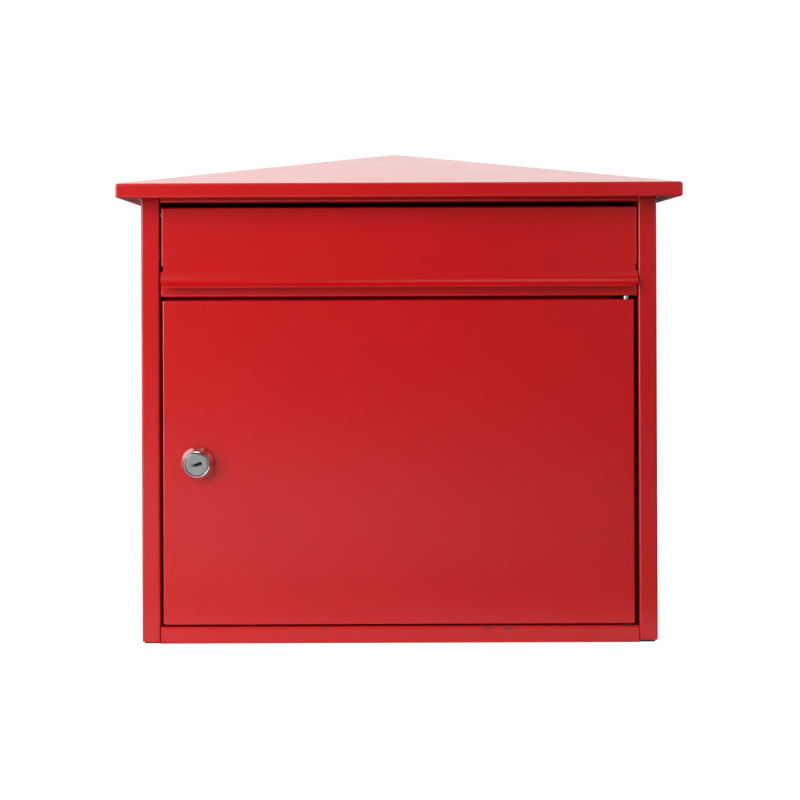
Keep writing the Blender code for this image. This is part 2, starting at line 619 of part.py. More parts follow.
def make_lock(pivot_door, pivot_core):
    """Housing, gasket and nut on the door; plug, cam, washer and screw turn in it."""
    centre = (LOCK_X, FRONT_Y, LOCK_Z)
    back = (0, 1, 0)
    on_door = {"pivot": pivot_door, "pivot_place": DOOR_PIVOT}
    on_core = {"pivot": pivot_core, "pivot_place": LOCK_PIVOT}
    bore = PLUG_RADIUS + GAP
    seat = -GAP - GASKET_HEIGHT - GAP
    housing = [
        (bore, -LOCK_PROUD),
        (LOCK_FACE_RADIUS - LOCK_CHAMFER, -LOCK_PROUD),
        (LOCK_FACE_RADIUS, -LOCK_PROUD + LOCK_CHAMFER),
        (LOCK_FACE_RADIUS + LOCK_SKIRT_FLARE, seat - LOCK_SKIRT_FOOT),
        (LOCK_BASE_RADIUS, seat - LOCK_RIM),
        (LOCK_BASE_RADIUS, seat),
        (BARREL_RADIUS, seat),
        (BARREL_RADIUS, BARREL_LENGTH),
        (bore, BARREL_LENGTH),
    ]
    turned("lock_housing", housing, centre, back, CHROME, 40, **on_door)
    hole = BARREL_RADIUS + GAP
    gasket = [(hole, -GAP - GASKET_HEIGHT), (GASKET_RADIUS, -GAP - GASKET_HEIGHT)]
    gasket += [(GASKET_RADIUS, -GAP), (hole, -GAP)]
    turned("lock_gasket", gasket, centre, back, RUBBER, 32, **on_door)

    nut_start = LOCK_PIVOT + Vector((0, DOOR_SHEET + GAP, 0))
    nut_end = nut_start + Vector((0, NUT_HEIGHT, 0))
    nut = add_piece("lock_nut", rod_shape(NUT_RADIUS, nut_start, nut_end, 6), ZINC, **on_door)
    past = Vector((0, CUT_PAST, 0))
    cut(nut, hole_cutter("nut_hole", BARREL_RADIUS + GAP, nut_start - past, nut_end + past, 32))

    cam_front = BARREL_LENGTH + GAP
    cam_back = cam_front + CAM_THICKNESS
    face = -LOCK_PROUD + PLUG_SUNK
    stud_end = cam_back - STUD_SHORT
    screw_bore = SCREW_RADIUS + GAP
    plug_profile = [
        (0, face),
        (PLUG_RADIUS, face),
        (PLUG_RADIUS, BARREL_LENGTH),
        (STUD_RADIUS, BARREL_LENGTH),
        (STUD_RADIUS, stud_end),
        (screw_bore, stud_end),
        (screw_bore, stud_end - SCREW_DEPTH - SCREW_BORE_PAST),
        (0, stud_end - SCREW_DEPTH - SCREW_BORE_PAST),
    ]
    plug = turned("lock_plug", plug_profile, centre, back, CHROME, 32, **on_core)
    slot = bmesh.new()
    size = Matrix.Diagonal((KEYWAY_LENGTH, 2 * KEYWAY_DEPTH, KEYWAY_WIDTH, 1))
    turn = Matrix.Rotation(-KEYWAY_TILT, 4, "Y")
    where = Matrix.Translation((LOCK_X, FRONT_Y + face, LOCK_Z))
    bmesh.ops.create_cube(slot, size=1, matrix=where @ turn @ size)
    cut(plug, add_piece("keyway", slot, None))

    half = CAM_WIDTH / 2
    cam_shape = bmesh.new()
    corners = []
    for step in range(CAM_ARC_STEPS + 1):
        angle = math.pi * step / CAM_ARC_STEPS
        corners.append((half * math.cos(angle), half * math.sin(angle)))
    corners += [(-half, CAM_CORNER - CAM_REACH), (CAM_CORNER - half, -CAM_REACH)]
    corners += [(half - CAM_CORNER, -CAM_REACH), (half, CAM_CORNER - CAM_REACH)]
    cam_y = FRONT_Y + cam_front
    outline = [cam_shape.verts.new((LOCK_X + x, cam_y, LOCK_Z + z)) for x, z in corners]
    face_made = cam_shape.faces.new(outline)
    pushed = bmesh.ops.extrude_face_region(cam_shape, geom=[face_made])
    moved = [item for item in pushed["geom"] if isinstance(item, bmesh.types.BMVert)]
    bmesh.ops.translate(cam_shape, vec=(0, CAM_THICKNESS, 0), verts=moved)
    bmesh.ops.recalc_face_normals(cam_shape, faces=cam_shape.faces)
    cam = add_piece("lock_cam", cam_shape, ZINC, **on_core)
    start, end = (LOCK_X, cam_y - CUT_PAST, LOCK_Z), (LOCK_X, cam_y + 2 * CUT_PAST, LOCK_Z)
    cut(cam, hole_cutter("cam_hole", STUD_RADIUS + GAP, start, end, 20))

    near, far = cam_back + GAP, cam_back + GAP + CAM_WASHER_HEIGHT
    washer = [(screw_bore, near), (CAM_WASHER_RADIUS, near), (CAM_WASHER_RADIUS, far), (screw_bore, far)]
    turned("cam_washer", washer, centre, back, ZINC, 24, **on_core)
    head = far + GAP
    screw = [
        (0, stud_end - SCREW_DEPTH),
        (SCREW_RADIUS, stud_end - SCREW_DEPTH),
        (SCREW_RADIUS, head),
        (SCREW_HEAD_RADIUS, head),
        (SCREW_HEAD_RADIUS, head + SCREW_HEAD * SCREW_CROWN),
        (SCREW_HEAD_RADIUS * SCREW_CROWN, head + SCREW_HEAD),
        (0, head + SCREW_HEAD),
    ]
    turned("cam_screw", screw, centre, back, ZINC, 20, **on_core)


def main():
    clear_scene()
    flap_axis = add_pivot("flap_axis", FLAP_PIVOT)
    door_axis = add_pivot("door_axis", DOOR_PIVOT)
    lock_axis = add_pivot("lock_axis", LOCK_PIVOT, door_axis)
    make_roof()
    make_side_panel("left_side_panel", -1)
    make_side_panel("right_side_panel", 1)
    make_back_panel()
    make_base_tray()
    make_header_rail()
    make_cross_bar()
    make_flap(flap_axis)
    make_flap_rod(flap_axis)
    make_buffers()
    make_door(door_axis)
    make_hinge_pins()
    make_lock(door_axis, lock_axis)


main()
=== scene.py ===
"""The letterbox's looks: folded sheets, turned lock parts and procedural finishes on the frame.

Metres, +Z up, the front faces -Y, as in the frame. Lengths are written in millimetres times MM.
"""

import math

import bmesh
import bpy
from mathutils import Matrix, Vector


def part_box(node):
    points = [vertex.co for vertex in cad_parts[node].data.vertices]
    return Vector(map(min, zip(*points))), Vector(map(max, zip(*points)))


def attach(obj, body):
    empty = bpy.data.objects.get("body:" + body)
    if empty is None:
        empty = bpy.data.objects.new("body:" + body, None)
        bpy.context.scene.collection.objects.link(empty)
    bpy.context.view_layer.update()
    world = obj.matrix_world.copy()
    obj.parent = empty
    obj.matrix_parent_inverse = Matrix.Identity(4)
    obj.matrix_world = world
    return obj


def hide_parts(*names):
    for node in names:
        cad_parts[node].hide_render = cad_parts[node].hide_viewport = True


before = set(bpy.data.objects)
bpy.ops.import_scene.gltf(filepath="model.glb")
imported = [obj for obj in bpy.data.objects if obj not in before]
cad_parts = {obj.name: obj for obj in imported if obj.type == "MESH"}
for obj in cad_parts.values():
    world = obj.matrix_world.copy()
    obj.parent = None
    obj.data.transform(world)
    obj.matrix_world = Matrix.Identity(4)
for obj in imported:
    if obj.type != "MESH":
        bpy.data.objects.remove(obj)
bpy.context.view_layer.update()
MM = 0.001

# ---- Places read from the frame ----
ROOF_LOW, ROOF_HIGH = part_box("roof")
POST_LOW, POST_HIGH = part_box("right_side_panel")
LEFT_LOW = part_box("left_side_panel")[0]
TRAY_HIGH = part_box("base_tray")[1]
BAR_LOW, BAR_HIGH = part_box("cross_bar")
HEADER_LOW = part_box("header_rail")[0]
DOOR_LOW, DOOR_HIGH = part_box("door")
FLAP_LOW, FLAP_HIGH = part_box("flap")
ROD_LOW, ROD_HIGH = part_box("flap_rod")
PIN_LOW, PIN_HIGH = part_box("door_pin_top")
HOUSING_LOW, HOUSING_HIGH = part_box("lock_housing")
CAM_LOW, CAM_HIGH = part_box("lock_cam")

# ---- Sheet metal ----
SHEET = 1.2 * MM
BEND = 1.7 * MM
DOOR_SHEET = 1.0 * MM
DOOR_BEND = 1.5 * MM
BEND_STEPS = 6
FOLD_ANGLE = math.radians(35)
GAP = 0.3 * MM
SLIT = 1 * MM  # width of the relief slits at the ends of a flange
SLIT_DEPTH = 3 * MM
EDGE_SOFTENING = 0.12 * MM
CUT_THROUGH = 8 * MM  # length of the hole cutters, half of it on each side of their centre

WALL_Y = ROOF_HIGH.y
FRONT_Y = DOOR_LOW.y
ROOF_FRONT_Y = ROOF_LOW.y
HALF_ROOF = ROOF_HIGH.x
HALF_BODY = POST_HIGH.x
FASCIA_HEIGHT = 10 * MM
HEM_WIDTH = 8 * MM
EAVE_Z = ROOF_LOW.z + FASCIA_HEIGHT
SLOPE = (ROOF_HIGH.z - EAVE_Z) / HALF_ROOF
ROOF_DROP = SHEET * math.hypot(1, SLOPE) + GAP
POST_INNER = HALF_BODY - 13.2 * MM
POST_CLEARANCE = 2 * MM
RAIL_HALF = BAR_HIGH.x
RAIL_Y = BAR_LOW.y
STOP_Y = FRONT_Y + 12 * MM
STOP_LIP = 8 * MM
SIDE_REAR_Y = POST_HIGH.y
TRAY_HALF = TRAY_HIGH.x
TRAY_REAR_Y = TRAY_HIGH.y
SILL_TOP = TRAY_HIGH.z - STOP_LIP
BAR_BOTTOM = BAR_LOW.z + STOP_LIP
BAR_TOP = BAR_HIGH.z
HEADER_BOTTOM = HEADER_LOW.z
TOP_FLANGE = 20 * MM
REAR_FLANGE = 13 * MM
RAIL_FLANGE = 12.7 * MM
HEADER_FLANGE_HALF = 150 * MM
UPSTAND = 12 * MM
BACK_BOTTOM = 1 * MM
GABLE_FLANGE_INSET = 19 * MM
GABLE_FLANGE_FROM_PEAK = UPSTAND + 4 * MM
FIXING_X = 130 * MM
FIXING_Z = (60 * MM, 285 * MM)
FIXING_RADIUS = 3.5 * MM

# ---- Door, flap and hinge ----
HINGE_X = (PIN_LOW.x + PIN_HIGH.x) / 2
HINGE_Y = (PIN_LOW.y + PIN_HIGH.y) / 2
PIN_RADIUS = 2 * MM
PIN_CHAMFER = 0.6 * MM
STOP_LEFT = -RAIL_HALF + 3 * MM
STOP_RIGHT = HINGE_X - 10 * MM
FLAP_TOP = FLAP_HIGH.z
FLAP_BEND = 1.1 * MM
FLAP_NOTCH_TOP = 271 * MM
FLAP_NOTCH = 1.3 * MM
LIP_WIDER = 0.5 * MM
LIP_RADIUS = 12 * MM
LIP_ANGLE = math.radians(60)
LIP_STEPS = 16
LIP_START = 266.8 * MM
LIP_CORNER = 5.5 * MM
FLAP_RETURN_TOP = 10 * MM
FLAP_RETURN_BOTTOM = 5 * MM
ROD_Y = (ROD_LOW.y + ROD_HIGH.y) / 2
ROD_Z = (ROD_LOW.z + ROD_HIGH.z) / 2
ROD_RADIUS = 2 * MM
ROD_CHAMFER = 0.5 * MM
BUSH_RADIUS = 3.2 * MM
BUSH_FLANGE_RADIUS = 4.2 * MM
BUSH_FLANGE = 1 * MM
BUSH_EDGE = 0.15 * MM
CLIP_DISH = 0.1 * MM
CLIP_RIM = 0.8 * MM
BUFFERS = ("flap_buffer_left", "flap_buffer_right", "door_buffer_top", "door_buffer_bottom")
BUFFER_CROWN = 0.28  # share of the radius that the domed edge takes up
BUFFER_WALL = 0.55  # share of the height below the dome
SMALL_EDGE = 0.2 * MM  # rounding of the pins, washers, gasket and plug

# ---- Lock ----
LOCK_X = (HOUSING_LOW.x + HOUSING_HIGH.x) / 2
LOCK_Z = (HOUSING_LOW.z + HOUSING_HIGH.z) / 2
LOCK_PROUD = FRONT_Y - HOUSING_LOW.y
BARREL_LENGTH = HOUSING_HIGH.y - FRONT_Y
BARREL_RADIUS = 9.4 * MM
PLUG_RADIUS = 7.9 * MM
PLUG_EDGE = 0.45 * MM
STUD_RADIUS = 4 * MM
SCREW_BORE = 2.3 * MM
SCREW_BORE_DEPTH = 8 * MM
LOCK_RING = 9.5 * MM
LOCK_BASE = 12 * MM
LOCK_SEAT = -1.4 * MM  # the head's rear face, where 0 is the door's front skin
LOCK_CHAMFER = 0.75 * MM
MOUTH_INNER = 0.05 * MM  # the chamfer round the plug, measured from the bore
MOUTH_OUTER = 0.45 * MM
MOUTH_DEPTH = 0.5 * MM
LOCK_EDGE = 0.35 * MM
LOCK_RIM = 0.12 * MM
SKIRT_START = 1.4 * MM
SKIRT_STEP = 0.15 * MM
NUT_EDGE = 0.35 * MM

# Key slot, wafers and a dark block of painted shade on the plug's face, in millimetres: the
# centre and size of each block
KEYWAY_TILT = math.radians(9)
KEYWAY_DEPTH = 12
KEYWAY_BOXES = (
    ((0, 0, 0), (7.6, 2 * KEYWAY_DEPTH, 1.9)),
    ((2.1, 0, 0.5), (3.2, 2 * KEYWAY_DEPTH, 1.9)),
    ((-0.2, 0, -1.0), (1.6, 2 * KEYWAY_DEPTH, 1.2)),
)
WAFER_BOX = ((-2.8, 0.8, 0), (1.6, 0.5, 1.7))
# Painted shade: a dark block deep in the key slot.
KEYWAY_SHADE_BOX = ((0, 3.5, 0), (7.4, 1, 3.6))
WAFER_EDGE = 0.12 * MM

# ---- Cam ----
CAM_HALF = 7 * MM
CAM_CORNER = 2 * MM
CAM_HOLE = 4.3 * MM
CAM_EDGE = 0.25 * MM
CAM_ARC_STEPS = 24
CAM_CORNER_STEPS = 6
SCREW_RADIUS = 2 * MM
SCREW_HEAD = 2.6 * MM
SCREW_WALL = 0.9 * MM
SCREW_EDGE = 0.1 * MM
SCREW_SLOT = (4, 3, 0.9)  # millimetres, as block() takes them
DOME_STEPS = 6


# ---------------------------------------------------------------- mesh tools
def new_object(name, shape):
    mesh = bpy.data.meshes.new(name)
    shape.to_mesh(mesh)
    shape.free()
    piece = bpy.data.objects.new(name, mesh)
    bpy.context.scene.collection.objects.link(piece)
    return piece


def stand_for(piece, body, slot, finish, *nodes):
    """Puts the piece on its body in place of its CAD nodes, with its finish."""
    piece.data.materials.append(finish)
    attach(piece, body)
    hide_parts(*nodes)


def cells(us, vs, place, skip=()):
    """Four-cornered panels between the values us and vs, without the (u, v) cells in skip."""
    found = []
    for i, (u0, u1) in enumerate(zip(us, us[1:])):
        for j, (v0, v1) in enumerate(zip(vs, vs[1:])):
            if (i, j) not in skip:
                found.append([place(u0, v0), place(u1, v0), place(u1, v1), place(u0, v1)])
    return found


def skin_of(panels, outward):
    """One surface from panels that share corners. outward is near the first one's normal."""
    shape = bmesh.new()
    made = {}
    for panel in panels:
        corners = []
        for point in panel:
            key = tuple(round(value, 7) for value in point)
            if key not in made:
                made[key] = shape.verts.new(point)
            corners.append(made[key])
        shape.faces.new(corners)
    shape.faces.ensure_lookup_table()
    bmesh.ops.recalc_face_normals(shape, faces=shape.faces)
    if shape.faces[0].normal.dot(Vector(outward)) < 0:
        bmesh.ops.reverse_faces(shape, faces=shape.faces)
    return shape


def apply_modifiers(piece):
    """Replaces the mesh by what its modifiers make of it."""
    graph = bpy.context.evaluated_depsgraph_get()
    made = bpy.data.meshes.new_from_object(piece.evaluated_get(graph))
    old = piece.data
    piece.modifiers.clear()
    piece.data = made
    made.name = piece.name
    bpy.data.meshes.remove(old)


def cut(piece, cutter):
    """Adds the cutter to the piece's modifiers as a hole."""
    boolean = piece.modifiers.new("hole", "BOOLEAN")
    boolean.operation = "DIFFERENCE"
    boolean.solver = "EXACT"
    boolean.object = cutter


def cut_away(piece, cutter):
    """Cuts the hole into the piece's mesh and drops the cutter."""
    cut(piece, cutter)
    apply_modifiers(piece)
    bpy.data.objects.remove(cutter, do_unlink=True)


def soften_edges(piece, width, steps, angle=math.radians(40)):
    """Rounds the cut edges a little and shades the large faces flat, for clean reflections."""
    soft = piece.modifiers.new("soft_edges", "BEVEL")
    soft.width = width
    soft.segments = steps
    soft.limit_method = "ANGLE"
    soft.angle_limit = angle
    soft.use_clamp_overlap = True
    soft.miter_outer = "MITER_ARC"
    piece.data.shade_smooth()
    weighted = piece.modifiers.new("weighted", "WEIGHTED_NORMAL")
    weighted.keep_sharp = True
    weighted.weight = 100


def folded_sheet(name, panels, outward, thickness=SHEET, bend=BEND, cutters=()):
    """Sheet metal with the panels as its outer skin: folds rounded, gauge added, holes cut."""
    piece = new_object(name, skin_of(panels, outward))
    folds = piece.modifiers.new("folds", "BEVEL")
    folds.width = bend
    folds.segments = BEND_STEPS
    folds.limit_method = "ANGLE"
    folds.angle_limit = FOLD_ANGLE
    gauge = piece.modifiers.new("gauge", "SOLIDIFY")
    gauge.thickness = thickness
    gauge.offset = -1
    gauge.use_even_offset = True
    gauge.use_quality_normals = True
    for cutter in cutters:
        cut(piece, cutter)
    apply_modifiers(piece)
    for cutter in cutters:
        bpy.data.objects.remove(cutter, do_unlink=True)
    soften_edges(piece, EDGE_SOFTENING, 2)
    return piece


def hole_cutter(radius, centre, axis, depth=CUT_THROUGH, sides=48):
    along = Vector(axis).to_track_quat("Z", "Y").to_matrix().to_4x4()
    shape = bmesh.new()
    bmesh.ops.create_cone(
        shape,
        cap_ends=True,
        segments=sides,
        radius1=radius,
        radius2=radius,
        depth=depth,
        matrix=Matrix.Translation(centre) @ along,
    )
    return new_object("cutter", shape)


def block(place, centre, size):
    """A box with this centre and size in millimetres, in the frame of the matrix place."""
    shape = bmesh.new()
    moved = Matrix.Translation(Vector(centre) * MM)
    scaled = Matrix.Diagonal((*(Vector(size) * MM), 1))
    bmesh.ops.create_cube(shape, size=1, matrix=place @ moved @ scaled)
    return shape


def turned(name, profile, centre, axis, sides=64):
    """A solid turned about an axis. The profile is a closed list of (radius, along) pairs."""
    axis = Vector(axis)
    side = axis.orthogonal().normalized()
    shape = bmesh.new()
    ring = [shape.verts.new(Vector(centre) + side * r + axis * along) for r, along in profile]
    edges = [shape.edges.new((ring[i - 1], ring[i])) for i in range(len(ring))]
    bmesh.ops.spin(
        shape,
        geom=ring + edges,
        cent=Vector(centre),
        axis=axis,
        angle=2 * math.pi,
        steps=sides,
        use_merge=True,
    )
    bmesh.ops.remove_doubles(shape, verts=shape.verts, dist=1e-6)
    bmesh.ops.dissolve_degenerate(shape, edges=shape.edges, dist=1e-7)
    bmesh.ops.recalc_face_normals(shape, faces=shape.faces)
    piece = new_object(name, shape)
    piece.data.shade_smooth()
    piece.data.set_sharp_from_angle(angle=math.radians(30))
    return piece


def rounded(profile, radius, steps=4):
    """The closed profile with its corners rounded, apart from those on the axis."""
    found = []
    count = len(profile)
    for i, corner in enumerate(profile):
        here = Vector(corner)
        before = Vector(profile[i - 1]) - here
        after = Vector(profile[(i + 1) % count]) - here
        reach = min(radius, before.length * 0.45, after.length * 0.45)
        if here.x < 1e-9 or reach < 1e-6 or before.angle(after) > math.radians(170):
            found.append(corner)
            continue
        start = here + before.normalized() * reach
        end = here + after.normalized() * reach
        for step in range(steps + 1):
            t = step / steps
            point = start * (1 - t) ** 2 + here * 2 * t * (1 - t) + end * t**2
            found.append((point.x, point.y))
    return found


# ---------------------------------------------------------------- finishes
class Finish:
    """A Principled material and the few kinds of node that the finishes are built from."""

    def __init__(self, name, roughness, metallic=0.0):
        self.material = bpy.data.materials.new(name)
        self.material.use_nodes = True
        self.tree = self.material.node_tree
        self.shader = self.tree.nodes["Principled BSDF"]
        self.shader.inputs["Roughness"].default_value = roughness
        self.shader.inputs["Metallic"].default_value = metallic
        self.place = self.tree.nodes.new("ShaderNodeTexCoord").outputs["Object"]

    def link(self, source, node, socket):
        self.tree.links.new(source, node.inputs[socket])

    def scaled(self, factors):
        """The place in the object's own frame, stretched by the factors."""
        node = self.tree.nodes.new("ShaderNodeMapping")
        node.inputs["Scale"].default_value = factors
        self.link(self.place, node, "Vector")
        return node.outputs["Vector"]

    def noise(self, scale, detail=3.0, roughness=0.5, vector=None):
        node = self.tree.nodes.new("ShaderNodeTexNoise")
        node.inputs["Scale"].default_value = scale
        node.inputs["Detail"].default_value = detail
        node.inputs["Roughness"].default_value = roughness
        self.link(vector or self.place, node, "Vector")
        return node.outputs["Fac"]

    def ramp(self, value, low, high, start=0.0, end=1.0, smooth=True):
        """value mapped from low..high to start..end, and held outside that range."""
        node = self.tree.nodes.new("ShaderNodeMapRange")
        node.interpolation_type = "SMOOTHSTEP" if smooth else "LINEAR"
        node.clamp = True
        for socket, number in (
            ("From Min", low),
            ("From Max", high),
            ("To Min", start),
            ("To Max", end),
        ):
            node.inputs[socket].default_value = number
        self.link(value, node, "Value")
        return node.outputs["Result"]

    def maths(self, operation, first, second):
        node = self.tree.nodes.new("ShaderNodeMath")
        node.operation = operation
        for i, value in enumerate((first, second)):
            if isinstance(value, (int, float)):
                node.inputs[i].default_value = value
            else:
                self.tree.links.new(value, node.inputs[i])
        return node.outputs["Value"]

    def mixed(self, share, first, second):
        """first where share is 0 and second where it is 1. Each is a colour or a socket."""
        node = self.tree.nodes.new("ShaderNodeMix")
        node.data_type = "RGBA"
        self.tree.links.new(share, node.inputs["Factor"])
        for socket, value in (("A", first), ("B", second)):
            target = [i for i in node.inputs if i.name == socket and i.type == "RGBA"][0]
            if isinstance(value, tuple):
                target.default_value = value
            else:
                self.tree.links.new(value, target)
        return [o for o in node.outputs if o.type == "RGBA"][0]

    def near(self, centre, reach):
        """1 at the centre, falling to 0 at an ellipsoid with those three reaches."""
        node = self.tree.nodes.new("ShaderNodeVectorMath")
        node.operation = "SUBTRACT"
        self.tree.links.new(self.place, node.inputs[0])
        node.inputs[1].default_value = centre
        shrink = self.tree.nodes.new("ShaderNodeVectorMath")
        shrink.operation = "DIVIDE"
        self.tree.links.new(node.outputs["Vector"], shrink.inputs[0])
        shrink.inputs[1].default_value = reach
        length = self.tree.nodes.new("ShaderNodeVectorMath")
        length.operation = "LENGTH"
        self.tree.links.new(shrink.outputs["Vector"], length.inputs[0])
        return self.ramp(length.outputs["Value"], 1.0, 0.0, smooth=False)

    def bump(self, heights):
        """Bumps from (height socket, distance in metres, strength), fine ones last."""
        before = None
        for height, distance, strength in heights:
            node = self.tree.nodes.new("ShaderNodeBump")
            node.inputs["Distance"].default_value = distance
            node.inputs["Strength"].default_value = strength
            self.link(height, node, "Height")
            if before:
                self.link(before, node, "Normal")
            before = node.outputs["Normal"]
        self.link(before, self.shader, "Normal")


def grey(level):
    return (level, level, level, 1)


RED = (0.560, 0.0020, 0.0030, 1)
RED_DEEP = (0.540, 0.0016, 0.0028, 1)
SCUFF = (0.230, 0.012, 0.014, 1)
# Near black: a real paint speck on the door, and painted shade on the tray's edge under the
# posts.
SPECK_AND_SHADE = (0.010, 0.001, 0.001, 1)


def red_paint(name, scuffs=(), specks_and_shade=()):
    """Satin powder coat with faint orange peel, scuffs, dark specks and painted shade at
    (centre, reach) places.
    """
    paint = Finish(name, 0.36)
    drift = paint.ramp(paint.noise(9, 2), 0.35, 0.65)
    colour = paint.mixed(drift, RED, RED_DEEP)
    marks_and_shade = None
    speck = paint.noise(900, 3, 0.6)
    # Each place darkens the colour: scuffs are real wear, the door's speck is real, the tray's
    # marks are painted shade.
    for places, dark in ((scuffs, SCUFF), (specks_and_shade, SPECK_AND_SHADE)):
        for centre, reach in places:
            ragged = paint.maths("MULTIPLY", speck, 0.5)
            spot = paint.ramp(paint.maths("ADD", paint.near(centre, reach), ragged), 0.62, 0.80)
            marks_and_shade = spot if marks_and_shade is None else paint.maths("MAXIMUM", marks_and_shade, spot)
            colour = paint.mixed(spot, colour, dark)
    paint.link(colour, paint.shader, "Base Color")
    gloss = paint.ramp(paint.noise(35, 3), 0.3, 0.7, 0.295, 0.315)
    if marks_and_shade is not None:
        gloss = paint.maths("ADD", gloss, paint.maths("MULTIPLY", marks_and_shade, 0.35))
    paint.link(gloss, paint.shader, "Roughness")
    paint.shader.inputs["Coat Weight"].default_value = 0.30
    paint.shader.inputs["Coat Roughness"].default_value = 0.20
    waves = paint.noise(9, 0)
    peel = paint.noise(620, 2, 0.45)
    grain = paint.noise(2600, 2, 0.5)
    paint.bump([(waves, 0.0004, 0.3), (peel, 0.00004, 0.35), (grain, 0.00001, 0.25)])
    return paint.material


def polished_chrome(name):
    chrome = Finish(name, 0.10, 1.0)
    stain = chrome.ramp(chrome.noise(160, 4), 0.35, 0.7)
    colour = chrome.mixed(stain, (0.80, 0.80, 0.81, 1), (0.66, 0.66, 0.67, 1))
    chrome.link(colour, chrome.shader, "Base Color")
    rough = chrome.ramp(chrome.noise(420, 3), 0.3, 0.7, 0.04, 0.09)
    chrome.link(rough, chrome.shader, "Roughness")
    chrome.bump([(chrome.noise(900, 2), 0.00002, 0.15)])
    return chrome.material


def satin_metal(name, colour, dark, roughness):
    """Plated steel or brushed chrome, with fine brush lines along X and small stains."""
    metal = Finish(name, roughness, 1.0)
    lines = metal.noise(1, 4, 0.6, metal.scaled((500, 9000, 9000)))
    stain = metal.ramp(metal.noise(260, 4), 0.4, 0.7)
    shade = metal.maths("MULTIPLY", metal.maths("ADD", lines, stain), 0.5)
    metal.link(metal.mixed(shade, colour, dark), metal.shader, "Base Color")
    rough = metal.ramp(lines, 0.3, 0.7, roughness - 0.06, roughness + 0.08)
    metal.link(rough, metal.shader, "Roughness")
    metal.bump([(lines, 0.00003, 0.3)])
    return metal.material


def moulded(name, colour, dark, roughness, grain):
    """Nylon or rubber: a slightly uneven colour and a fine moulded grain."""
    plastic = Finish(name, roughness)
    drift = plastic.ramp(plastic.noise(320, 3), 0.35, 0.65)
    plastic.link(plastic.mixed(drift, colour, dark), plastic.shader, "Base Color")
    rough = plastic.ramp(plastic.noise(700, 2), 0.3, 0.7, roughness - 0.07, roughness + 0.07)
    plastic.link(rough, plastic.shader, "Roughness")
    plastic.bump([(plastic.noise(2200, 3), 0.00004, grain)])
    return plastic.material


# ---------------------------------------------------------------- cabinet
def roof_underside(inset):
    """Height of the space under the roof sheet, this far in from an eave."""
    return EAVE_Z + inset * SLOPE - ROOF_DROP


def make_roof(finish):
    def eave_ring(inset, z):
        front = ROOF_FRONT_Y + inset
        half = HALF_ROOF - inset
        return [(-half, WALL_Y, z), (-half, front, z), (half, front, z), (half, WALL_Y, z)]

    apex = (0, WALL_Y, ROOF_HIGH.z)
    bottom = EAVE_Z - FASCIA_HEIGHT
    rings = [eave_ring(0, EAVE_Z), eave_ring(0, bottom), eave_ring(HEM_WIDTH, bottom)]
    panels = [[rings[0][i], rings[0][i + 1], apex] for i in (1, 0, 2)]
    for upper, lower in zip(rings, rings[1:]):
        for i in range(3):
            panels.append([upper[i], upper[i + 1], lower[i + 1], lower[i]])
    roof = folded_sheet("roof_sheet", panels, (0, 0, 1))
    stand_for(roof, "cabinet", "red_paint", finish, "roof")


def make_side_panel(side, low, finish):
    node = "left_side_panel" if side < 0 else "right_side_panel"
    top = roof_underside(HALF_ROOF - HALF_BODY)
    heights = [low.z, top - SLIT_DEPTH, top]
    front, rear = FRONT_Y + TOP_FLANGE, WALL_Y - TOP_FLANGE
    flange_x = HALF_BODY - TOP_FLANGE
    flange_z = top + TOP_FLANGE * SLOPE
    depths = [FRONT_Y, front - SLIT, front, rear, rear + SLIT, SIDE_REAR_Y]
    panels = cells(depths, heights, lambda y, z: (side * HALF_BODY, y, z), ((1, 1), (3, 1)))
    panels += cells([STOP_Y, FRONT_Y], heights, lambda y, z: (side * POST_INNER, y, z))
    panels += cells([POST_INNER, HALF_BODY], heights, lambda x, z: (side * x, FRONT_Y, z))
    rear_x = [HALF_BODY, HALF_BODY - REAR_FLANGE]
    panels += cells(rear_x, heights, lambda x, z: (side * x, SIDE_REAR_Y, z))
    panels.append(
        [
            (side * HALF_BODY, front, top),
            (side * HALF_BODY, rear, top),
            (side * flange_x, rear, flange_z),
            (side * flange_x, front, flange_z),
        ]
    )
    centre = (side * (POST_INNER + SHEET / 2), ROD_Y, ROD_Z)
    hole = hole_cutter(BUSH_RADIUS + GAP, centre, (1, 0, 0))
    panel = folded_sheet(node + "_sheet", panels, (side, 0, 0), cutters=[hole])
    stand_for(panel, "cabinet", "red_paint", finish, node)


def make_back_panel(finish):
    def gable(x):
        return roof_underside(HALF_ROOF - abs(x))

    half = HALF_BODY - GAP
    outer, inner = half - GABLE_FLANGE_INSET, GABLE_FLANGE_FROM_PEAK
    right = [(half, BACK_BOTTOM), (half, gable(half))]
    steps = [(outer + SLIT, 0), (outer + SLIT, 1), (outer, 1), (outer, 0)]
    steps += [(inner, 0), (inner, 1), (inner - SLIT, 1), (inner - SLIT, 0)]
    right += [(x, gable(x) - sunk * SLIT_DEPTH) for x, sunk in steps]
    left = [(-x, z) for x, z in reversed(right)]
    panels = [[(x, WALL_Y, z) for x, z in right + [(0, gable(0))] + left]]
    for side in (-1, 1):
        edge = [(side * outer, gable(outer)), (side * inner, gable(inner))]
        back = [(x, WALL_Y, z) for x, z in edge]
        panels.append(back + [(x, WALL_Y - UPSTAND, z) for x, z in reversed(edge)])
    holes = [
        hole_cutter(FIXING_RADIUS, (x, WALL_Y, z), (0, 1, 0))
        for x in (-FIXING_X, FIXING_X)
        for z in FIXING_Z
    ]
    panel = folded_sheet("back_panel_sheet", panels, (0, 1, 0), cutters=holes)
    stand_for(panel, "cabinet", "red_paint", finish, "back_panel")


